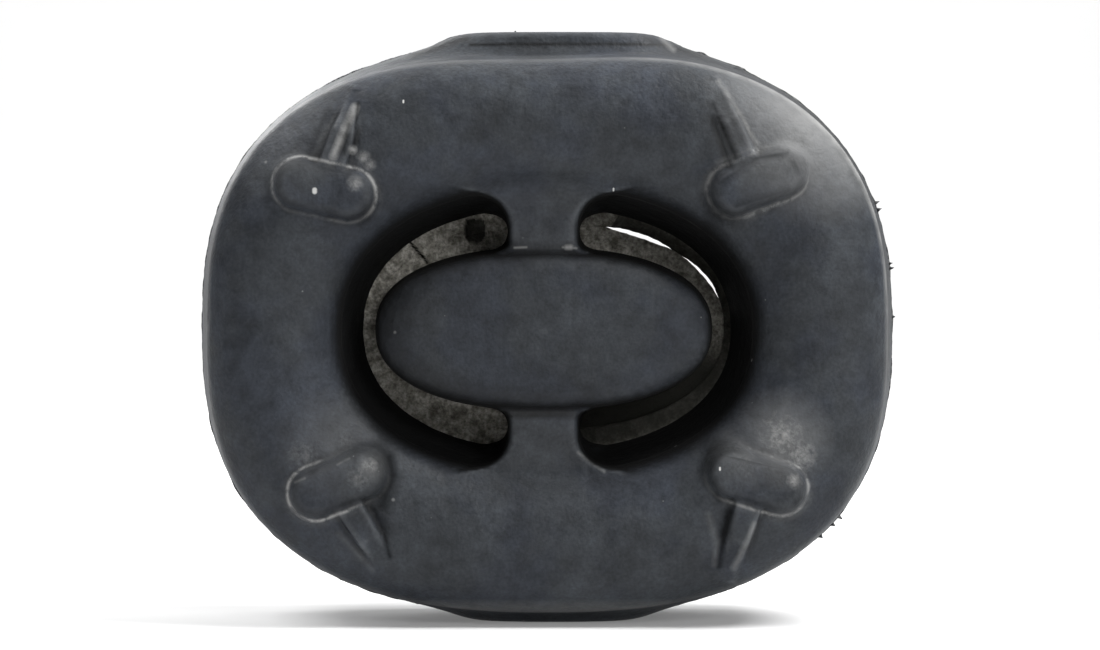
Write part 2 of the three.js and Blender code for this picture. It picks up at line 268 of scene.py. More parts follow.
# Pale streaks on the front, painted highlights along ridges, edges and creases, and a band of painted light
# along the bottom: start, end, half width and strength
PAINTED_HIGHLIGHTS = [
    ((17.4, 25.3), (19.3, 22.2), 0.4, 0.35),
    ((19.3, 22.2), (21.3, 18.9), 0.5, 0.45),
    ((-19.4, 22.6), (-21.5, 17.6), 0.45, 0.8),
    ((-22.4, 20.6), (-23.6, 17.6), 0.6, 0.15),
    ((20.9, -19.4), (20.4, -20.7), 0.3, 0.4),
    ((20.4, -20.7), (18.9, -24.0), 0.35, 0.25),
    ((16.3, -18.5), (17.1, -21.2), 0.4, 0.13),
    ((17.1, -21.2), (17.0, -23.6), 0.35, 0.14),
    ((-21.0, -20.5), (-17.7, -24.2), 0.35, 0.1),
    ((-3.3, 8.45), (-2.1, 8.5), 0.13, 0.5),
    ((1.6, 8.5), (3.0, 8.4), 0.13, 0.4),
    ((2.0, 8.5), (2.4, 8.5), 0.28, 0.7),
    ((5.8, -14.3), (3.2, -12.4), 0.2, 0.3),
    ((-12.0, -28.3), (12.0, -28.3), 0.8, 0.25),
    ((-25.4, -15.2), (-24.4, -14.75), 0.16, 0.4),
    ((-21.1, -13.4), (-19.9, -12.75), 0.16, 0.4),
    ((17.3, 17.0), (20.2, 18.3), 0.45, 0.25),
    ((20.2, 18.3), (24.0, 18.9), 0.45, 0.35),
]
# Painted shade in the corners, creases and flanks on the front: start, end, half width and strength
SHADOWS = [
    ((16.8, 23.0), (17.3, 21.5), 0.5, 0.6),
    ((17.3, 21.5), (18.9, 17.6), 0.6, 0.95),
    ((-19.1, 23.0), (-19.4, 19.0), 0.3, 0.8),
    ((-19.9, 21.6), (-20.4, 18.2), 0.7, 0.7),
    ((-22.1, 22.3), (-23.9, 18.2), 0.5, 0.35),
    ((-16.0, -12.8), (-15.6, -14.6), 0.8, 0.75),
    ((-15.6, -14.6), (-16.6, -17.6), 1.0, 0.7),
    ((-17.4, -18.0), (-16.4, -20.1), 0.8, 0.65),
    ((-16.6, -19.8), (-15.9, -22.8), 0.35, 0.65),
    ((18.4, -18.3), (17.9, -20.5), 0.8, 0.8),
    ((17.9, -20.5), (17.4, -23.8), 0.45, 0.7),
    ((16.9, -14.6), (17.4, -17.2), 0.6, 0.5),
    ((17.5, -12.4), (24.0, -13.9), 0.22, 0.5),
    ((17.2, 14.9), (21.0, 17.4), 0.55, 0.55),
    ((21.0, 17.4), (24.2, 18.0), 0.5, 0.7),
    ((24.6, 17.6), (25.5, 15.8), 0.5, 0.5),
    ((19.0, 12.6), (24.4, 14.2), 0.5, 0.5),
    ((17.9, 23.4), (20.0, 19.4), 1.0, 0.4),
]
# Marks on the front of the top land and beside it, the same way
LAND_DARK = [
    ((-7.9, 29.35), (12.3, 29.4), 0.22, 0.9),
    ((-13.9, 28.4), (-8.4, 30.1), 0.5, 0.75),
    ((10.0, 30.0), (15.8, 28.3), 0.4, 0.6),
]
LAND_PALE = [
    ((11.9, 30.1), (13.0, 28.9), 0.35, 0.35),
]
CREASE = {"out": 0.12, "glow": 0.9, "haze": 0.14}  # dust round a knob, outside its edge
FLANK = {"in": 0.6, "width": 0.75, "strength": 0.45}  # painted shade: the darker ring inside it
DUST_FADE = (-1.5, 1.0)  # how the dust fades in across a knob, from its spread
LEAST_DUST = 0.12
RIM_BAND = {"depth": 0.7, "from": 0.4, "to": 1.3}  # the pale band in front of the rim, rubbed and with a painted highlight

# Studio, in metres
FLOOR_REACH = 3.0
FLOOR_BEND = 0.5
FLOOR_WALL = 0.9  # where the floor starts to bend up
FLOOR_STEPS = 16
FLOOR_COLOR = (0.62, 0.62, 0.62, 1)
FLOOR_GLOW = 0.15
WHITE = (1, 1, 1, 1)
WORLD_STRENGTH = 0.06
OBJECT_MIDDLE = (0, 0, 0.03)
LIGHTS = [
    {"name": "front", "place": (0.26, -0.55, 0.25), "size": (0.26, 0.20), "power": 1.48},
    {"name": "upper_right", "place": (0.32, -0.08, 0.50), "size": (0.26, 0.26), "power": 5.4},
    {"name": "upper_left", "place": (-0.30, -0.03, 0.50), "size": (0.26, 0.26), "power": 2.0},
    {"name": "back", "place": (-0.26, 0.55, 0.25), "size": (0.26, 0.20), "power": 1.5},
    {"name": "backdrop", "place": (0.0, 0.75, 1.10), "size": (1.6, 0.6), "power": 16.0,
     "target": (0.0, 1.2, 0.0)},
]
CAMERA_DISTANCE = 0.42
CAMERA_ELEVATION = 1.0  # degrees
CAMERA_TARGET = (0.0003, 0, 0.0305)
SENSOR_WIDTH = 36
PHOTO_WIDTH = 1100  # pixels
PIXELS_PER_MM = 9.58  # in the plane of the parting line


def oval_radius(width, height, power, angle):
    across = np.abs(np.sin(angle)) / (width / 2)
    up = np.abs(np.cos(angle)) / (height / 2)
    return (across**power + up**power) ** (-1 / power)


def quarter(share, power):
    turn = share * math.pi / 2
    return math.cos(turn) ** (2 / power), math.sin(turn) ** (2 / power)


def table(pairs, value):
    """The value's place in a list of pairs, with straight lines between them."""
    return np.interp(value, [pair[0] for pair in pairs], [pair[1] for pair in pairs])


def mix(a, b, share):
    return a + (b - a) * share


def smooth_step(low, high, value):
    share = np.clip((value - low) / (high - low), 0, 1)
    return share * share * (3 - 2 * share)


def smooth_min(a, b, width):
    blend = np.clip(0.5 + 0.5 * (b - a) / width, 0, 1)
    return mix(b, a, blend) - width * blend * (1 - blend)


def smooth_max(a, b, width):
    return -smooth_min(-a, -b, width)


class Section:
    """A closed outline in the plane of radius and depth, whose radii change with the angle."""

    def __init__(self, levels):
        # each level is (width, height, power, drop, depth), where drop is how far its centre lies down
        turn = np.linspace(0, 2 * math.pi, ANGLES + 1)
        self.depths = np.array([level[4] for level in levels])
        radii = []
        for width, height, power, drop, _ in levels:
            radius = oval_radius(width, height, power, turn) if width else 0 * turn
            radii.append(radius - drop * np.cos(turn) ** 3)
        self.radii = np.stack(radii)

    def distance(self, radius, angle, depth):
        """Signed distance in the section, negative inside the rubber."""
        place = angle / (2 * math.pi) * ANGLES
        low = np.clip(place.astype(int), 0, ANGLES - 1)
        share = place - low
        nearest = np.full(radius.shape, 1e9)
        inside = np.zeros(radius.shape, bool)
        count = len(self.depths)

        def corner(i):
            row = self.radii[i % count]
            return mix(row[low], row[low + 1], share)

        start = corner(0)
        for i in range(count):
            end = corner(i + 1)
            y0 = self.depths[i]
            y1 = self.depths[(i + 1) % count]
            run = end - start
            rise = y1 - y0
            length = np.maximum(run * run + rise * rise, 1e-9)
            along = np.clip(((radius - start) * run + (depth - y0) * rise) / length, 0, 1)
            away = (radius - start - along * run) ** 2 + (depth - y0 - along * rise) ** 2
            nearest = np.minimum(nearest, away)
            if rise:
                crossing = start + run * (depth - y0) / rise
                inside ^= ((y0 > depth) != (y1 > depth)) & (radius < crossing)
            start = end
        return np.where(inside, -1, 1) * np.sqrt(nearest)


def ring_section():
    inner = (RING_WIDTH - 2 * SIDE_DRAFT, RING_HEIGHT - 2 * TOP_DRAFT, RING_POWER + RIM_FULL, RIM_DROP)
    outer = (RING_WIDTH + 2 * SIDE_DRAFT, RING_HEIGHT + 2 * TOP_DRAFT, RING_POWER - RIM_FULL, -RIM_DROP)
    levels = []

    def crown(share, depth):
        levels.append(tuple(mix(a, b, share) for a, b in zip(inner, BOWL + (0.0,))) + (depth,))

    levels.append(outer + (-RIM,))
    for step in range(RIM_STEPS + 1):
        across, up = quarter(step / RIM_STEPS, RIM_POWER)
        crown(CREST_SHARE * (1 - across), RIM + (CREST - RIM) * up)
    for step in range(1, INNER_STEPS + 1):
        across, up = quarter(1 - step / INNER_STEPS, INNER_POWER)
        crown(mix(CREST_SHARE, 1, across), CREST - INNER_DROP * (1 - up))
    levels.append(SLOT + (0.0, 0.0))
    levels.append((SLOT[0] - SLOT_CLOSE, SLOT[1] - SLOT_CLOSE, SLOT[2], 0.0, -RIM))
    return Section(levels)


def boss_section():
    width, height, power = BOSS
    levels = [(0, 0, power, 0, -RIM)]
    levels.append((width + BOSS_SPREAD, height + BOSS_SPREAD, power, 0, -RIM))
    for step in range(BOSS_STEPS + 1):
        across, up = quarter(step / BOSS_STEPS, BOSS_ROUND_POWER)
        wide = width - 2 * BOSS_DRAFT - 2 * BOSS_ROUND[0] * (1 - across)
        high = height - 2 * BOSS_DRAFT - 2 * BOSS_ROUND[1] * (1 - across)
        levels.append((wide, high, power, 0, BOSS_FACE - BOSS_ROUND[2] * (1 - up)))
    levels.append((0, 0, power, 0, BOSS_FACE))
    return Section(levels)


RING = ring_section()
BOSS_BODY = boss_section()


def web_distance(x, z, depth):
    """Both webs: narrow between the round slot ends, flaring out to the ring above them."""
    height = np.abs(z)
    from_end = np.clip((height - SLOT_END_HEIGHT) / SLOT_END_RADIUS, -1, 1)
    at_skin = SLOT_END_RADIUS * (1 - np.sqrt(1 - from_end**2))
    to_ring = np.clip((height - FLARE_START) / FLARE_RADIUS, 0, 1)
    to_boss = np.clip((FOOT_START - height) / FOOT_RADIUS, 0, 1)
    at_face = FLARE_RADIUS * (1 - np.sqrt(1 - to_ring**2)) + FOOT_RADIUS * (1 - np.sqrt(1 - to_boss**2))
    at_face += WEB_BURIED * np.maximum(height - FLARE_START - FLARE_RADIUS, 0)
    half = WEB_WIDTH / 2 + mix(at_skin, at_face, smooth_step(SKIN_DEPTH, FLARE_DEPTH, depth))
    sides = np.maximum(np.abs(x) - half + WEB_DRAFT * depth, height - WEB_END)
    return smooth_max(sides, depth - WEB_FACE, WEB_EDGE)


def land_distance(x, y, z, land):
    """A flat on the ring's top or bottom whose flanks slope out to its root."""
    top = RING_HEIGHT / 2 + land["rise"]
    fall = top - z * land["side"]
    share = fall / land["drop"]
    length = mix(land["top"][0], land["root"][0], share)
    width = mix(land["top"][1], land["root"][1], share)
    across = (np.abs(x - land["x"]) / np.maximum(length, 1)) ** LAND_POWER
    along = (np.abs(y) / np.maximum(width, 1)) ** LAND_POWER
    flank = ((across + along) ** (1 / LAND_POWER) - 1) * np.maximum(width, 1) * LAND_LEAN
    return smooth_max(np.maximum(flank, fall - land["drop"]), -fall, LAND_EDGE)


def turned(x, z, degrees):
    """Places along and across a direction that lies at an angle to X."""
    turn = math.radians(degrees)
    return x * math.cos(turn) + z * math.sin(turn), z * math.cos(turn) - x * math.sin(turn)


def buffer_distance(x, y, z, buffer):
    """An oval knob on the front with a rib that runs from it into the ring."""
    height = -y - CREST
    along, up = turned(x - buffer["x"], z - buffer["z"], buffer["tilt"])
    reach = (KNOB[0] - KNOB[1]) / 2
    side = np.hypot(np.maximum(np.abs(along) - reach, 0), up)
    flank = side - KNOB[1] / 2 + KNOB_FLANK * (height / KNOB_PROUD)
    face = KNOB_PROUD - KNOB_CROWN * side**2
    knob = smooth_max(flank / math.hypot(1, KNOB_FLANK / KNOB_PROUD), height - face, BUFFER_EDGE)
    across, out = turned(x - buffer["x"] - buffer["shift"], z - buffer["z"], -buffer["lean"])
    out = out * math.copysign(1, buffer["z"])
    share = np.clip(out / buffer["reach"], 0, 1)
    back = table(RIB_BACK, share)
    rib_side = np.abs(across) - mix(*RIB, share) - RIB_LEAN * (back - height) + RIB_LEAN
    ends = np.maximum(-out, out - buffer["reach"] - RIB_PAST)
    rib = smooth_max(np.maximum(rib_side, ends), height - back, BUFFER_EDGE)
    return np.maximum(smooth_min(knob, rib, BUFFER_JOIN), -height - BUFFER_ROOT)


def fullness(angle, y):
    """How much further out the ring stands at an angle, as a share of its radius."""
    at_rim = np.clip(-y / RIM, 0, 1)
    right = np.maximum(np.cos(angle - math.radians(FULL_ANGLE)), 0) ** FULL_POWER
    left = np.maximum(np.cos(angle + math.radians(FULL_ANGLE)), 0) ** FULL_POWER
    return mix(FULLNESS, RIM_FULLNESS, at_rim) * right + RIM_FULLNESS_LEFT * at_rim * left


def body_distance(x, y, z):
    """Below zero inside the rubber, the skin and the flash left out."""
    depth = np.abs(y)
    radius = np.hypot(x, z)
    angle = np.arctan2(x, z) % (2 * math.pi)
    outside = np.clip((radius - FULL_FROM) / FULL_OVER, 0, 1)
    ring = RING.distance(radius * (1 - fullness(angle, y) * outside), angle, depth)
    from_boss = x - BOSS_SHIFT
    boss_angle = np.arctan2(from_boss, z) % (2 * math.pi)
    boss = BOSS_BODY.distance(np.hypot(from_boss, z), boss_angle, depth)
    body = smooth_min(ring, web_distance(from_boss, z, depth), WEB_BLEND)
    body = smooth_min(body, boss, BOSS_BLEND)
    for land in LANDS:
        body = smooth_min(body, land_distance(x, y, z, land), LAND_BLEND)
    for buffer in BUFFERS:
        beside = np.abs(x - buffer["x"]) < BUFFER_REACH
        near = beside & (np.abs(z - buffer["z"]) < BUFFER_REACH) & (y < 0)
        if near.any():
            knob = buffer_distance(x[near], y[near], z[near], buffer)
            body[near] = smooth_min(body[near], knob, BUFFER_EDGE)
    return body


def gradient(x, y, z):
    """Slope of the body's distance at each place."""
    reach = 0.05
    parts = [
        body_distance(x + reach, y, z) - body_distance(x - reach, y, z),
        body_distance(x, y + reach, z) - body_distance(x, y - reach, z),
        body_distance(x, y, z + reach) - body_distance(x, y, z - reach),
    ]
    return np.stack(parts, axis=1) / (2 * reach)


def surface_net(values, low, step):
    """Points and quads of the zero surface of values on a regular grid, a point in each cell it crosses."""
    inside = values < 0
    shape = np.array(values.shape) - 1
    corners = [(i, j, k) for i in (0, 1) for j in (0, 1) for k in (0, 1)]

    def part(array, corner):
        return array[tuple(slice(c, c + n) for c, n in zip(corner, shape))]

    count = sum(part(inside, c).astype(np.int8) for c in corners)
    active = (count > 0) & (count < 8)
    number = np.full(active.shape, -1)
    number[active] = np.arange(active.sum())
    cells = np.argwhere(active)
    total = np.zeros((len(cells), 3))
    hits = np.zeros(len(cells))
    for a in corners:
        for axis in range(3):
            if a[axis]:
                continue
            b = tuple(c + (i == axis) for i, c in enumerate(a))
            va = part(values, a)[active]
            vb = part(values, b)[active]
            crossed = (va < 0) != (vb < 0)
            share = np.where(crossed, va / np.where(crossed, va - vb, 1), 0)
            point = np.tile(np.array(a, float), (len(cells), 1))
            point[:, axis] += share
            total += point * crossed[:, None]
            hits += crossed
    points = low + (cells + total / hits[:, None]) * step
    quads = []
    for axis in range(3):
        u = (axis + 1) % 3
        v = (axis + 2) % 3
        first = [slice(None)] * 3
        second = [slice(None)] * 3
        first[axis] = slice(0, -1)
        second[axis] = slice(1, None)
        a = inside[tuple(first)]
        b = inside[tuple(second)]
        edges = np.argwhere(a != b)
        edges = edges[(edges[:, u] > 0) & (edges[:, v] > 0)]
        edges = edges[(edges[:, u] < shape[u]) & (edges[:, v] < shape[v])]
        flip = a[tuple(edges.T)]
        ring = []
        for du, dv in ((-1, -1), (0, -1), (0, 0), (-1, 0)):
            cell = edges.copy()
            cell[:, u] += du
            cell[:, v] += dv
            ring.append(number[tuple(cell.T)])
        quad = np.stack(ring, axis=1)
        quad[~flip] = quad[~flip][:, ::-1]
        quads.append(quad)
    return points, np.concatenate(quads)


def make_object(name, points, faces, material):
    """A smooth shaded piece, from places in millimetres from the boss's centre."""
    mesh = bpy.data.meshes.new(name)
    mesh.from_pydata((points * MM + [0, 0, CENTRE_HEIGHT * MM]).tolist(), [], faces.tolist())
    mesh.polygons.foreach_set("use_smooth", [True] * len(mesh.polygons))
    mesh.materials.append(material)
    mesh.update()
    piece = bpy.data.objects.new(name, mesh)
    bpy.context.scene.collection.objects.link(piece)
    return piece


def store(piece, name, values):
    """Keeps one number for each point, which a material reads by name."""
    layer = piece.data.attributes.new(name, "FLOAT", "POINT")
    layer.data.foreach_set("value", values.astype(np.float32))


def hanger_body(material):
    """The rubber as one mesh: sampled on a grid, and its points then moved onto the surface."""
    half = np.array([RING_WIDTH / 2, CREST + KNOB_PROUD, RING_HEIGHT / 2 + LAND_ROOM]) + SKIRT
    axes = [np.arange(-h, h + VOXEL, VOXEL) for h in half]
    low = np.array([axis[0] for axis in axes])
    values = np.empty([len(axis) for axis in axes])
    for i, x in enumerate(axes[0]):
        ys, zs = np.meshgrid(axes[1], axes[2], indexing="ij")
        values[i] = body_distance(np.full(ys.size, x), ys.ravel(), zs.ravel()).reshape(ys.shape)
    points, quads = surface_net(values, low, VOXEL)
    for _ in range(SETTLE_STEPS):
        slope = gradient(*points.T)
        size = np.maximum((slope**2).sum(1), LEAST_SLOPE)
        step = body_distance(*points.T) / size
        points -= slope * np.clip(step, -SETTLE_LIMIT, SETTLE_LIMIT)[:, None]
    slope = gradient(*points.T)
    normals = slope / np.linalg.norm(slope, axis=1)[:, None]
    piece = make_object("hanger_rubber", points, quads, material)
    piece.data.normals_split_custom_set_from_vertices(normals.tolist())
    paint_body(piece, points, normals)
    return piece


def wave_noise(place, seed, size, octaves=3):
    """Smooth noise from -1 to 1 made of random plane waves, for places in millimetres."""
    draw = np.random.default_rng(seed)
    total = np.zeros(len(place))
    weight = 1.0
    full = 0.0
    for _ in range(octaves):
        for _ in range(WAVES):
            direction = draw.normal(size=place.shape[1])
            direction *= 2 * math.pi / size / np.linalg.norm(direction)
            total += weight * np.sin(place @ direction + draw.uniform(0, 2 * math.pi)) / WAVE_LEVEL
        full += weight
        weight *= 0.5
        size *= 0.45
    return total / full


def slab(points, thickness):
    """A closed sheet with its two faces thickness apart in Y, from a grid of middle points."""
    rows, columns = points.shape[:2]
    shift = np.array([0, thickness / 2, 0])
    corners = np.concatenate([(points - shift).reshape(-1, 3), (points + shift).reshape(-1, 3)])
    number = np.arange(rows * columns).reshape(rows, columns)
    cells = [number[:-1, :-1], number[1:, :-1], number[1:, 1:], number[:-1, 1:]]
    front = np.stack(cells, axis=-1).reshape(-1, 4)
    back = front[:, ::-1] + rows * columns
    rim = np.concatenate([number[:-1, 0], number[-1, :-1], number[:0:-1, -1], number[0, :0:-1]])
    following = np.roll(rim, -1)
    side = np.stack([following, rim, rim + rows * columns, following + rows * columns], axis=1)
    return corners, np.concatenate([front, back, side])


def torn_dust_and_shade(angle, share, outer):
    """Dust and painted shade on the right skin: even dust where it is whole, less dust and more painted
    shade lower down and on the outer strip near its torn edge.
    """
    fresh = np.where(outer, 0.1 + 0.75 * share**6, 0.75)
    dim = np.where(outer, 0.06 + 0.5 * share**5, 0.0)
    return np.where(angle < SKIN_WHOLE, 0.7, mix(fresh, dim, smooth_step(*SKIN_DIM, angle)))


def recess_and_crack(x, z):
    """Which points of the left skin lie in its recess, and which in its crack."""
    across = (x - RECESS["x"]) / (RECESS["width"] / 2)
    up = (z - RECESS["z"]) / (RECESS["height"] / 2)
    recess = across**4 + up**4 < 1
    start = np.array(CRACK["from"])
    end = np.array(CRACK["to"])
    length = np.linalg.norm(end - start)
    run = (end - start) / length
    off = (x - start[0]) * run[1] - (z - start[1]) * run[0]
    along = (x - start[0]) * run[0] + (z - start[1]) * run[1]
    beside = (along > -CRACK["past"]) & (along < length + CRACK["past"])
    return recess, (np.abs(off) < CRACK["width"]) & beside


def skin_strip(side, outer):
    """Half the width of one slot's skin: from the boss to the tear line, or from there to the ring."""
    angle = np.linspace(SKIN_START, 180 - SKIN_START, SKIN_COLUMNS)
    turn = np.radians(angle)
    boss = oval_radius(*BOSS, turn)
    ring = oval_radius(*SLOT, turn)
    torn = side > 0
    place = table(TEAR_PLACE, angle) if torn else np.full(len(angle), 0.5)
    ragged = wave_noise(angle[:, None], SEED, RAGGED_SIZE) * RAGGED
    half = table(TEAR_HALF, angle) if torn else np.zeros(len(angle))
    line = mix(boss, ring, place) + np.where(half > 0, ragged, 0)
    apart = table(INNER_BACK, angle) - table(OUTER_BACK, angle)
    under = torn * SKIN_OVERLAP * smooth_step(0.1, 0.5, apart)
    share = np.linspace(0, 1, SKIN_ROWS)[:, None]
    if outer:
        radius = mix(line + half, ring + SKIN_HOLD, share)
        bend = (1 - share) ** 2 * table(OUTER_BACK, angle)
    else:
        radius = mix(boss - SKIN_HOLD, line - half + under, share)
        bend = share**2 * table(INNER_BACK, angle)
    x = side * radius * np.sin(turn)
    z = radius * np.cos(turn)
    if torn:
        y = bend
        # Low values here are painted shade on the outer strip and lower down
        dust = torn_dust_and_shade(angle, share, outer)
    else:
        recess, crack = recess_and_crack(x, z)
        y = recess * RECESS["depth"] + crack * CRACK["depth"]
        # The crack and the recess are painted dark, as shade
        dust = np.where(crack, 0.0, np.where(recess, 0.1, 1.0))
    points = np.stack([x, y, z], axis=-1)
    flat = points.reshape(-1, 3)
    rough = wave_noise(flat[:, [0, 2]], SEED + 1, SKIN_ROUGH_SIZE, 4).reshape(x.shape)
    points[..., 1] += SKIN_ROUGH * rough * dust
    if side < 0:
        points = points[:, ::-1]
        dust = dust[:, ::-1]
    corners, faces = slab(points, SKIN_THICKNESS)
    return corners, faces, np.tile(dust.ravel(), 2)


def slot_skins(material):
    """The skin of both slots, each as two sheets that meet or gape at the tear line."""
    pieces = []
    for side, name in ((-1, "skin_left"), (1, "skin_right")):
        corners = []
        faces = []
        dust = []
        start = 0
        for outer in (False, True):
            some, quads, shade = skin_strip(side, outer)
            corners.append(some)
            faces.append(quads + start)
            dust.append(shade)
            start += len(some)
        piece = make_object(name, np.concatenate(corners), np.concatenate(faces), material)
        # This number carries the skin's dust and its painted shade
        store(piece, "dust", np.concatenate(dust))
        pieces.append(piece)
    return pieces


def outline_radius(turn):
    """Distance from the centre to the outside of the body, in the plane of the parting line."""
    low = np.full(len(turn), OUTLINE_LIMITS[0])
    high = np.full(len(turn), OUTLINE_LIMITS[1])
    for _ in range(OUTLINE_STEPS):
        middle = (low + high) / 2
        value = body_distance(middle * np.sin(turn), np.zeros(len(turn)), middle * np.cos(turn))
        low = np.where(value < 0, middle, low)
        high = np.where(value < 0, high, middle)
    return low


def flash_line(material):
    """The thin ragged fin that the mould left along the parting line."""
    angle = np.linspace(-180, 180, FLASH_STEPS, endpoint=False)
    turn = np.radians(angle)
    base = outline_radius(turn)
    circle = np.stack([np.sin(turn), np.cos(turn)], axis=1) * FLASH_CIRCLE
    height = FLASH_HEIGHT * np.clip(0.45 + wave_noise(circle, SEED + 2, FLASH_NOISE_SIZE, 4), 0.12, None)
    sway = wave_noise(circle, SEED + 3, FLASH_SWAY_SIZE, 2) * FLASH_SWAY
    for place, tall, wide in WHISKERS:
        away = np.abs((angle - place + 180) % 360 - 180) / wide
        height += tall * np.clip(1 - away, 0, 1)
    section = [
        (-FLASH_HOLD, -FLASH_ROOT),
        (height, -FLASH_TIP),
        (height, FLASH_TIP),
        (-FLASH_HOLD, FLASH_ROOT),
    ]
    ring = []
    for out, across in section:
        radius = base + out
        z = np.maximum(radius * np.cos(turn), FLOOR_GAP - CENTRE_HEIGHT)
        ring.append(np.stack([radius * np.sin(turn), across + sway, z], axis=1))
    number = np.arange(FLASH_STEPS)
    following = np.roll(number, -1)
    faces = []
    for k in range(len(section)):
        a = k * FLASH_STEPS
        b = ((k + 1) % len(section)) * FLASH_STEPS
        faces.append(np.stack([number + a, following + a, following + b, number + b], axis=1))
    return make_object("flash_line", np.concatenate(ring), np.concatenate(faces)[:, ::-1], material)


class Shader:
    """A material under construction: add() makes a node, sets its values and links its inputs."""

    def __init__(self, name):
        self.material = bpy.data.materials.new(name)
        self.material.use_nodes = True
        self.nodes = self.material.node_tree.nodes
        self.surface = self.nodes["Principled BSDF"]
        self.place = []

    def put(self, socket, value):
        if isinstance(value, bpy.types.NodeSocket):
            self.material.node_tree.links.new(value, socket)
        else:
            socket.default_value = value

    def add(self, kind, inputs=(), **settings):
        node = self.nodes.new("ShaderNode" + kind)
        for name, value in settings.items():
            setattr(node, name, value)
        for name, value in dict(inputs).items():
            self.put(node.inputs[name], value)
        return node

    def noise(self, size, detail=4.0, roughness=0.55):
        """Noise about 0.5 whose features are size millimetres wide."""
        place = self.add("TexCoord").outputs["Object"]
        inputs = {"Vector": place, "Scale": 1 / (size * MM), "Detail": detail, "Roughness": roughness}
        return self.add("TexNoise", inputs).outputs["Fac"]

    def attribute(self, name):
        return self.add("Attribute", attribute_name=name).outputs["Fac"]

    def ramp(self, value, low, high, to_low=0.0, to_high=1.0):
        inputs = {"Value": value, "From Min": low, "From Max": high, "To Min": to_low, "To Max": to_high}
        return self.add("MapRange", inputs, clamp=True).outputs["Result"]

    def math(self, operation, a, b=0.0):
        node = self.add("Math", operation=operation)
        self.put(node.inputs[0], a)
        self.put(node.inputs[1], b)
        return node.outputs[0]

    def mix(self, share, a, b):
        node = self.add("Mix", data_type="RGBA")
        self.put(node.inputs[0], share)
        self.put(node.inputs[6], a)
        self.put(node.inputs[7], b)
        return node.outputs[2]

    def times(self, a, b):
        return self.math("MULTIPLY", a, b)

    def spread(self, noise, low, high):
        """A noise's values laid out between two others."""
        return self.ramp(noise, *SPREAD, low, high)

    def scale(self, color, value):
        """The colour times a number."""
        node = self.add("VectorMath", operation="SCALE")
        self.put(node.inputs[0], color)
        self.put(node.inputs["Scale"], value)
        return node.outputs[0]

    def darken(self, color, share, left):
        """Leaves the colour alone where share is 0, and only a part of it where share is 1."""
        return self.scale(color, self.ramp(share, 0, 1, 1, left))

    def highest(self, values):
        """The largest of several numbers."""
        values = list(values)
        top = values[0]
        for value in values[1:]:
            top = self.math("MAXIMUM", top, value)
        return top

    def near(self, x, z, reach, strength=1.0):
        """Strength at a place in the front view, falling to 0 at reach."""
        away = self.stroke((x, z - POINT_HALF), (x, z + POINT_HALF))
        return self.ramp(away, 0, reach, strength, 0)

    def axes(self):
        """The place on the object in millimetres from the boss's centre, as three sockets."""
        if not self.place:
            parts = self.add("SeparateXYZ", {"Vector": self.add("TexCoord").outputs["Object"]})
            for axis, shift in (("X", 0), ("Y", 0), ("Z", -CENTRE_HEIGHT)):
                self.place.append(self.math("ADD", self.times(parts.outputs[axis], 1 / MM), shift))
        return self.place

    def stroke(self, start, end):
        """Distance in the front view from a line between two places, in millimetres."""
        x, _, z = self.axes()
        middle = [(a + b) / 2 for a, b in zip(start, end)]
        length = math.dist(start, end)
        run = [(b - a) / length for a, b in zip(start, end)]
        dx = self.math("SUBTRACT", x, middle[0])
        dz = self.math("SUBTRACT", z, middle[1])
        along = self.math("ADD", self.times(dx, run[0]), self.times(dz, run[1]))
        across = self.math("SUBTRACT", self.times(dz, run[0]), self.times(dx, run[1]))
        past = self.math("MAXIMUM", self.math("SUBTRACT", self.math("ABSOLUTE", along), length / 2), 0)
        squares = self.math("ADD", self.times(past, past), self.times(across, across))
        return self.math("SQRT", squares)

    def specks(self, size, share):
        """Scattered round specks: a share of cells size millimetres wide holds one."""
        place = self.add("TexCoord").outputs["Object"]
        cells = self.add("TexVoronoi", {"Vector": place, "Scale": 1 / (size * MM), "Randomness": 1.0})
        dot = self.ramp(cells.outputs["Distance"], 0.03, 0.09, 1, 0)
        pick = self.add("SeparateColor", {"Color": cells.outputs["Color"]}).outputs["Red"]
        return self.times(dot, self.math("LESS_THAN", pick, share))

    def bump(self, *layers):
        """Layers of (height socket, depth in millimetres), laid on one another."""
        last = None
        for height, depth in layers:
            inputs = {"Height": height, "Strength": 1.0, "Distance": depth * MM}
            if last is not None:
                inputs["Normal"] = last
            last = self.add("Bump", inputs).outputs["Normal"]
        self.put(self.surface.inputs["Normal"], last)


def rubber_tone_and_shade(shader, mottle, grain):
    """The rubber's own colour, rubbed paler on its edges, with painted shade where it is tucked in and
    where the stored shade lies.
    """
    wear_and_crease_shade = shader.attribute("wear_and_crease_shade")
    cloud = shader.ramp(shader.noise(CLOUD_SIZE), 0.43, 0.55)
    color = shader.mix(cloud, SLATE_BLUE, SLATE_GREY)
    color = shader.scale(color, shader.spread(shader.noise(PATCH_SIZE), 0.75, 1.27))
    color = shader.scale(color, shader.spread(mottle, 0.76, 1.27))
    color = shader.scale(color, shader.spread(grain, 0.8, 1.21))
    edge = shader.times(shader.ramp(wear_and_crease_shade, 0.56, 0.95), shader.ramp(mottle, 0.3, 0.62, 0.35, 1))
    color = shader.mix(shader.times(edge, RUBBED_SHARE), color, RUBBED)
    # Painted shade in the creases, where the surface is tucked in
    color = shader.scale(color, shader.ramp(wear_and_crease_shade, 0.22, 0.47, 0.45, 1))
    # Painted shade on the boss's lower left edge and on the middle of both sides
    return shader.darken(color, shader.attribute("shade"), LEFT["shade"])


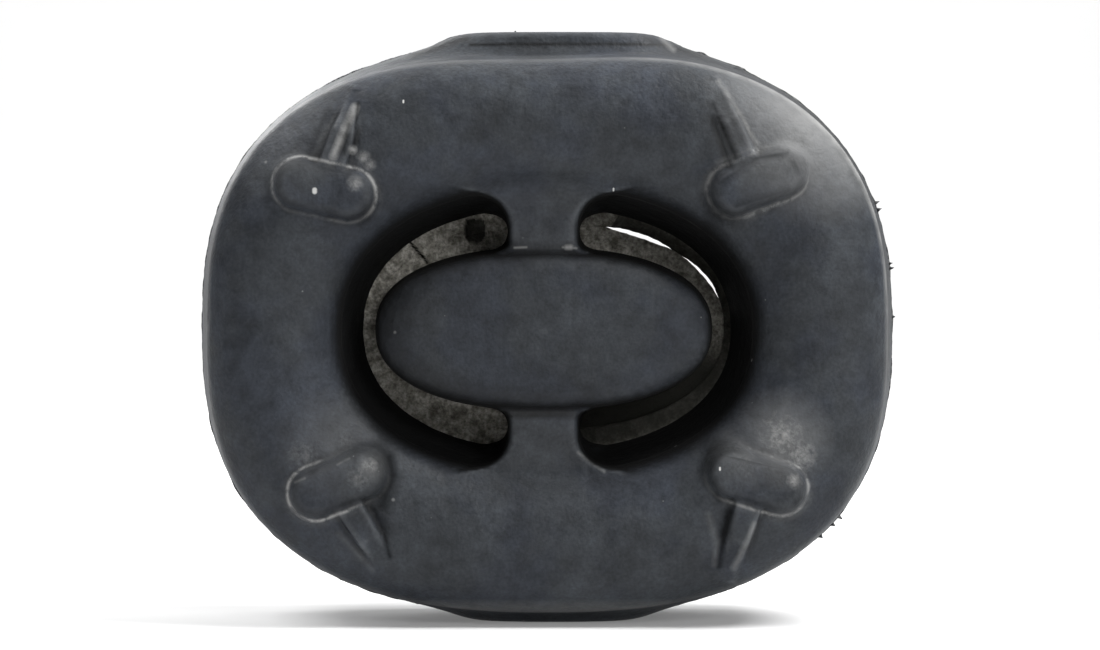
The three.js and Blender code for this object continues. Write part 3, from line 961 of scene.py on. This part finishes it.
def front_marks(shader, marks, broken):
    """Soft straight marks on the front, the strongest where several meet."""
    shapes = []
    for start, end, width, strength in marks:
        shapes.append(shader.ramp(shader.stroke(start, end), width * 0.1, width * 1.4, strength, 0))
    return shader.times(shader.highest(shapes), broken)


def knob_dust_and_flank_shade(shader, buffer):
    """Pale dust in the crease round a knob, and painted shade on the flank inside it."""
    reach = (KNOB[0] - KNOB[1]) / 2
    run = turned(reach, 0, -buffer["tilt"])
    start = (buffer["x"] - run[0], buffer["z"] - run[1])
    end = (buffer["x"] + run[0], buffer["z"] + run[1])
    away = shader.stroke(start, end)
    off = shader.math("ABSOLUTE", shader.math("SUBTRACT", away, KNOB[1] / 2 + CREASE["out"]))
    line = shader.ramp(off, 0.03, buffer["line"], buffer["dust"], 0)
    glow = shader.ramp(off, 0, CREASE["glow"], CREASE["haze"], 0)
    x, _, z = shader.axes()
    aim = math.radians(buffer["dusty"])
    dx = shader.times(shader.math("SUBTRACT", x, buffer["x"]), math.sin(aim))
    dz = shader.times(shader.math("SUBTRACT", z, buffer["z"]), math.cos(aim))
    fade = [buffer["spread"] + step for step in DUST_FADE]
    towards = shader.ramp(shader.math("ADD", dx, dz), *fade, LEAST_DUST, 1)
    broken = shader.ramp(shader.noise(1.2, 5, 0.65), 0.4, 0.56, 0.25, 1)
    line = shader.times(shader.math("MAXIMUM", line, glow), shader.times(towards, broken))
    flank = shader.math("ABSOLUTE", shader.math("SUBTRACT", away, KNOB[1] / 2 - FLANK["in"]))
    return line, shader.ramp(flank, 0.1, FLANK["width"], FLANK["strength"], 0)


def front_dust_and_painted_light(shader, mottle):
    """How pale and how dark the marks on the front make it: chalk and dust, painted highlights and sheen,
    and painted shade.
    """
    # Painted shade in corners, creases and on knob flanks
    dark = front_marks(shader, SHADOWS, shader.ramp(mottle, 0.3, 0.6, 0.7, 1))
    # Painted highlights along ridges, edges and creases
    pale = front_marks(shader, PAINTED_HIGHLIGHTS, shader.ramp(shader.noise(0.9, 4, 0.6), 0.36, 0.56, 0.65, 1))
    chalk = shader.highest(shader.near(*spot) for spot in CHALK)
    chalk = shader.times(chalk, shader.ramp(shader.noise(0.7, 5, 0.7), 0.36, 0.68, 0.25, 1))
    # Painted sheen at the upper right and upper left, and pale dust haze round the chalk
    haze = shader.highest(shader.near(*spot) for spot in SHEEN_AND_DUST_HAZE)
    haze = shader.times(haze, shader.spread(mottle, 0.7, 1))
    pale = shader.highest([pale, chalk, haze])
    for buffer in BUFFERS:
        line, flank = knob_dust_and_flank_shade(shader, buffer)
        pale = shader.math("MAXIMUM", pale, line)
        dark = shader.math("MAXIMUM", dark, flank)
    return pale, dark


def land_marks(shader, color, mottle):
    """Dark lines and pale marks on the front of the top land and beside it."""
    front_half = shader.ramp(shader.axes()[1], 1, 0)
    lines = front_marks(shader, LAND_DARK, front_half)
    lines = shader.times(lines, shader.ramp(mottle, 0.3, 0.5, 0.4, 1))
    color = shader.darken(color, lines, LEFT["land"])
    return shader.mix(front_marks(shader, LAND_PALE, front_half), color, CHALK_AND_HIGHLIGHT_COLOR)


def rim_wear_and_painted_light(shader, color, mottle, grain, bowl):
    """The pale band of the rim, rubbed and with a painted highlight, strongest at the upper right, the
    painted shade on its wall, and the parting line.
    """
    depth = shader.math("ABSOLUTE", shader.axes()[1])
    sunny = shader.near(*SUNNY)
    # Painted shade on the rim's wall, strongest at the upper right
    wall = shader.times(shader.ramp(depth, RIM - 0.6, RIM, 0.85, 0), sunny)
    color = shader.darken(color, wall, LEFT["wall"])
    # The pale rim band: rubbed wear and a painted highlight, strongest at the upper right
    off = shader.math("ABSOLUTE", shader.math("SUBTRACT", depth, RIM + RIM_BAND["depth"]))
    rim = shader.ramp(off, RIM_BAND["from"], RIM_BAND["to"], 1, 0)
    rim = shader.times(rim, shader.ramp(sunny, 0, 1, 0.14, 0.8))
    rim = shader.times(rim, shader.ramp(mottle, 0.35, 0.6, 0.5, 1))
    seam = shader.times(shader.ramp(depth, 0.2, 0.7, 0.4, 0), shader.ramp(grain, 0.5, 0.6))
    pale = shader.math("MAXIMUM", rim, seam)
    return shader.mix(shader.times(pale, shader.ramp(bowl, 0, 0.1, 1, 0)), color, CHALK_AND_HIGHLIGHT_COLOR)


def bright_specks(shader, color, front):
    """Scattered faint specks all over, and the few bright ones on the front."""
    dots = shader.math("MAXIMUM", shader.specks(2.6, 0.08), shader.specks(1.3, 0.04))
    color = shader.mix(shader.times(dots, SPECK_SHARE), color, SPECK_COLOR)
    spots = []
    for x, z, reach in SPOTS:
        away = shader.stroke((x, z - SPOT_HALF), (x, z + SPOT_HALF))
        spots.append(shader.ramp(away, reach / 2, reach, 1, 0))
    return shader.mix(shader.times(shader.highest(spots), front), color, SPECK_COLOR)


def rubber_material():
    shader = Shader("rubber")
    surface = shader.surface
    bowl = shader.attribute("bowl")
    mottle = shader.noise(MOTTLE_SIZE)
    grain = shader.noise(GRAIN_SIZE, 3)
    front = shader.ramp(shader.axes()[1], -RIM, -RIM - 1)
    pale, dark = front_dust_and_painted_light(shader, mottle)
    dark = shader.times(dark, front)
    color = rubber_tone_and_shade(shader, mottle, grain)
    # Chalk and dust, with painted highlights and painted sheen
    color = shader.mix(shader.times(pale, front), color, CHALK_AND_HIGHLIGHT_COLOR)
    # Painted shade in corners, creases and on knob flanks
    color = shader.darken(color, dark, LEFT["front_shade"])
    color = land_marks(shader, color, mottle)
    color = rim_wear_and_painted_light(shader, color, mottle, grain, bowl)
    # Painted shade on the bowl's steep walls
    color = shader.darken(color, bowl, LEFT["bowl"])
    color = bright_specks(shader, color, front)
    shader.put(surface.inputs["Base Color"], color)
    dull = shader.highest([shader.ramp(bowl, 0.1, 0.8), shader.ramp(dark, 0.1, 0.7)])
    rough = shader.math("MAXIMUM", shader.spread(mottle, 0.5, 0.64), shader.ramp(dull, 0, 1, 0.5, 1))
    shader.put(surface.inputs["Roughness"], rough)
    surface.inputs["Specular IOR Level"].default_value = 0.2
    dents = shader.spread(shader.noise(DENT_SIZE, 3), 0, 1)
    shader.bump((dents, DENT_DEPTH), (mottle, MOTTLE_DEPTH), (grain, GRAIN_DEPTH))
    return shader.material


def skin_material():
    shader = Shader("slot_skin")
    surface = shader.surface
    dust = shader.attribute("dust")
    coarse = shader.noise(1.1, 5, 0.65)
    fine = shader.noise(0.3, 4, 0.6)
    pale = shader.mix(shader.ramp(coarse, 0.38, 0.66), SKIN_BROWN, SKIN_PALE)
    pale = shader.scale(pale, shader.ramp(fine, 0.35, 0.62, 0.6, 1.25))
    # Where dust is low the skin takes the colour of its painted shade
    color = shader.mix(dust, SKIN_SHADE, pale)
    shader.put(surface.inputs["Base Color"], color)
    surface.inputs["Roughness"].default_value = 0.8
    surface.inputs["Specular IOR Level"].default_value = 0.25
    shader.bump((coarse, 0.2), (fine, 0.12))
    return shader.material


def paint_body(piece, points, normals):
    """Stores on each point how far the surface stands out, for wear and painted crease shade, the painted
    shade of the bowl's steep walls, and the painted shade of the boss's edge and both sides.
    """
    around = np.zeros(len(points))
    for axis in range(3):
        for side in (-WEAR_AND_SHADE_REACH, WEAR_AND_SHADE_REACH):
            moved = points.copy()
            moved[:, axis] += side
            around += body_distance(*moved.T)
    radius = np.hypot(points[:, 0], points[:, 2])
    turn = np.arctan2(points[:, 0], points[:, 2])
    # Painted shade of the bowl: its steep walls inside the bowl's edge
    inside = np.clip((oval_radius(*BOWL, turn) + BOWL_MARGIN - radius) / BOWL_FADE, 0, 1)
    steep = 1 - smooth_step(*STEEP, np.abs(normals[:, 1]))
    # Painted shade: the boss a little darker all over, more towards its lower left edge, and the middle of
    # both sides darker
    from_boss = points[:, 0] - BOSS_SHIFT
    boss_edge = oval_radius(*BOSS, np.arctan2(from_boss, points[:, 2]))
    share = np.hypot(from_boss, points[:, 2]) / boss_edge
    lower_left = np.clip(0.55 - 0.55 * np.sin(turn + math.radians(BOSS_DARK_SIDE)), 0.15, 1)
    on_boss = (share < 1.05) * (0.1 + smooth_step(0.5, 1.02, share) * lower_left)
    far_out = smooth_step(*SIDE_SHADE["x"], np.abs(points[:, 0]))
    far_up = smooth_step(*SIDE_SHADE["z"], np.abs(points[:, 2]))
    at_side = SIDE_SHADE["strength"] * far_out * (1 - far_up)
    store(piece, "wear_and_crease_shade", np.clip(0.5 + around / 6 / WEAR_AND_SHADE_SPAN, 0, 1))
    store(piece, "bowl", inside * steep)
    store(piece, "shade", np.clip(on_boss + at_side, 0, 1))


def add_light(light):
    data = bpy.data.lights.new(light["name"], "AREA")
    data.shape = "RECTANGLE"
    data.size, data.size_y = light["size"]
    data.energy = light["power"]
    lamp = bpy.data.objects.new(light["name"], data)
    lamp.location = light["place"]
    towards = Vector(light.get("target", OBJECT_MIDDLE)) - Vector(light["place"])
    lamp.rotation_euler = towards.to_track_quat("-Z", "Y").to_euler()
    bpy.context.scene.collection.objects.link(lamp)


def build_floor():
    """A pale sheet that lies flat under the object and bends up far behind it."""
    profile = [(-FLOOR_REACH, 0.0)]
    for step in range(FLOOR_STEPS + 1):
        turn = step / FLOOR_STEPS * math.pi / 2
        profile.append((FLOOR_WALL + FLOOR_BEND * math.sin(turn), FLOOR_BEND * (1 - math.cos(turn))))
    profile.append((FLOOR_WALL + FLOOR_BEND, FLOOR_REACH))
    points = [(x, y, z) for x in (-FLOOR_REACH, FLOOR_REACH) for y, z in profile]
    count = len(profile)
    faces = [(i, count + i, count + i + 1, i + 1) for i in range(count - 1)]
    mesh = bpy.data.meshes.new("floor")
    mesh.from_pydata(points, [], faces)
    mesh.polygons.foreach_set("use_smooth", [True] * len(mesh.polygons))
    floor = bpy.data.objects.new("floor", mesh)
    bpy.context.scene.collection.objects.link(floor)
    paper = Shader("floor_paper")
    paper.surface.inputs["Base Color"].default_value = FLOOR_COLOR
    paper.surface.inputs["Roughness"].default_value = 0.9
    paper.surface.inputs["Emission Color"].default_value = WHITE
    paper.surface.inputs["Emission Strength"].default_value = FLOOR_GLOW
    mesh.materials.append(paper.material)


def build_studio():
    build_floor()
    world = bpy.data.worlds.new("studio")
    world.use_nodes = True
    background = world.node_tree.nodes["Background"]
    background.inputs["Color"].default_value = WHITE
    background.inputs["Strength"].default_value = WORLD_STRENGTH
    bpy.context.scene.world = world
    for light in LIGHTS:
        add_light(light)
    bpy.context.scene.view_settings.view_transform = "Standard"


def build_camera():
    """A camera straight in front of the object and a little above it, as in the photograph."""
    elevation = math.radians(CAMERA_ELEVATION)
    back = Vector((0, -math.cos(elevation), math.sin(elevation)))
    frame_width = PHOTO_WIDTH / PIXELS_PER_MM * MM
    data = bpy.data.cameras.new("camera")
    data.sensor_width = SENSOR_WIDTH
    data.lens = SENSOR_WIDTH * CAMERA_DISTANCE / frame_width
    camera = bpy.data.objects.new("camera", data)
    camera.location = Vector(CAMERA_TARGET) + back * CAMERA_DISTANCE
    camera.rotation_euler = (-back).to_track_quat("-Z", "Y").to_euler()
    bpy.context.scene.collection.objects.link(camera)
    bpy.context.scene.camera = camera


rubber = rubber_material()
skin = skin_material()
body = hanger_body(rubber)
flash = flash_line(rubber)
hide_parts("hanger_body")
for piece in [body, flash, *slot_skins(skin)]:
    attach(piece, "root")
build_studio()
build_camera()
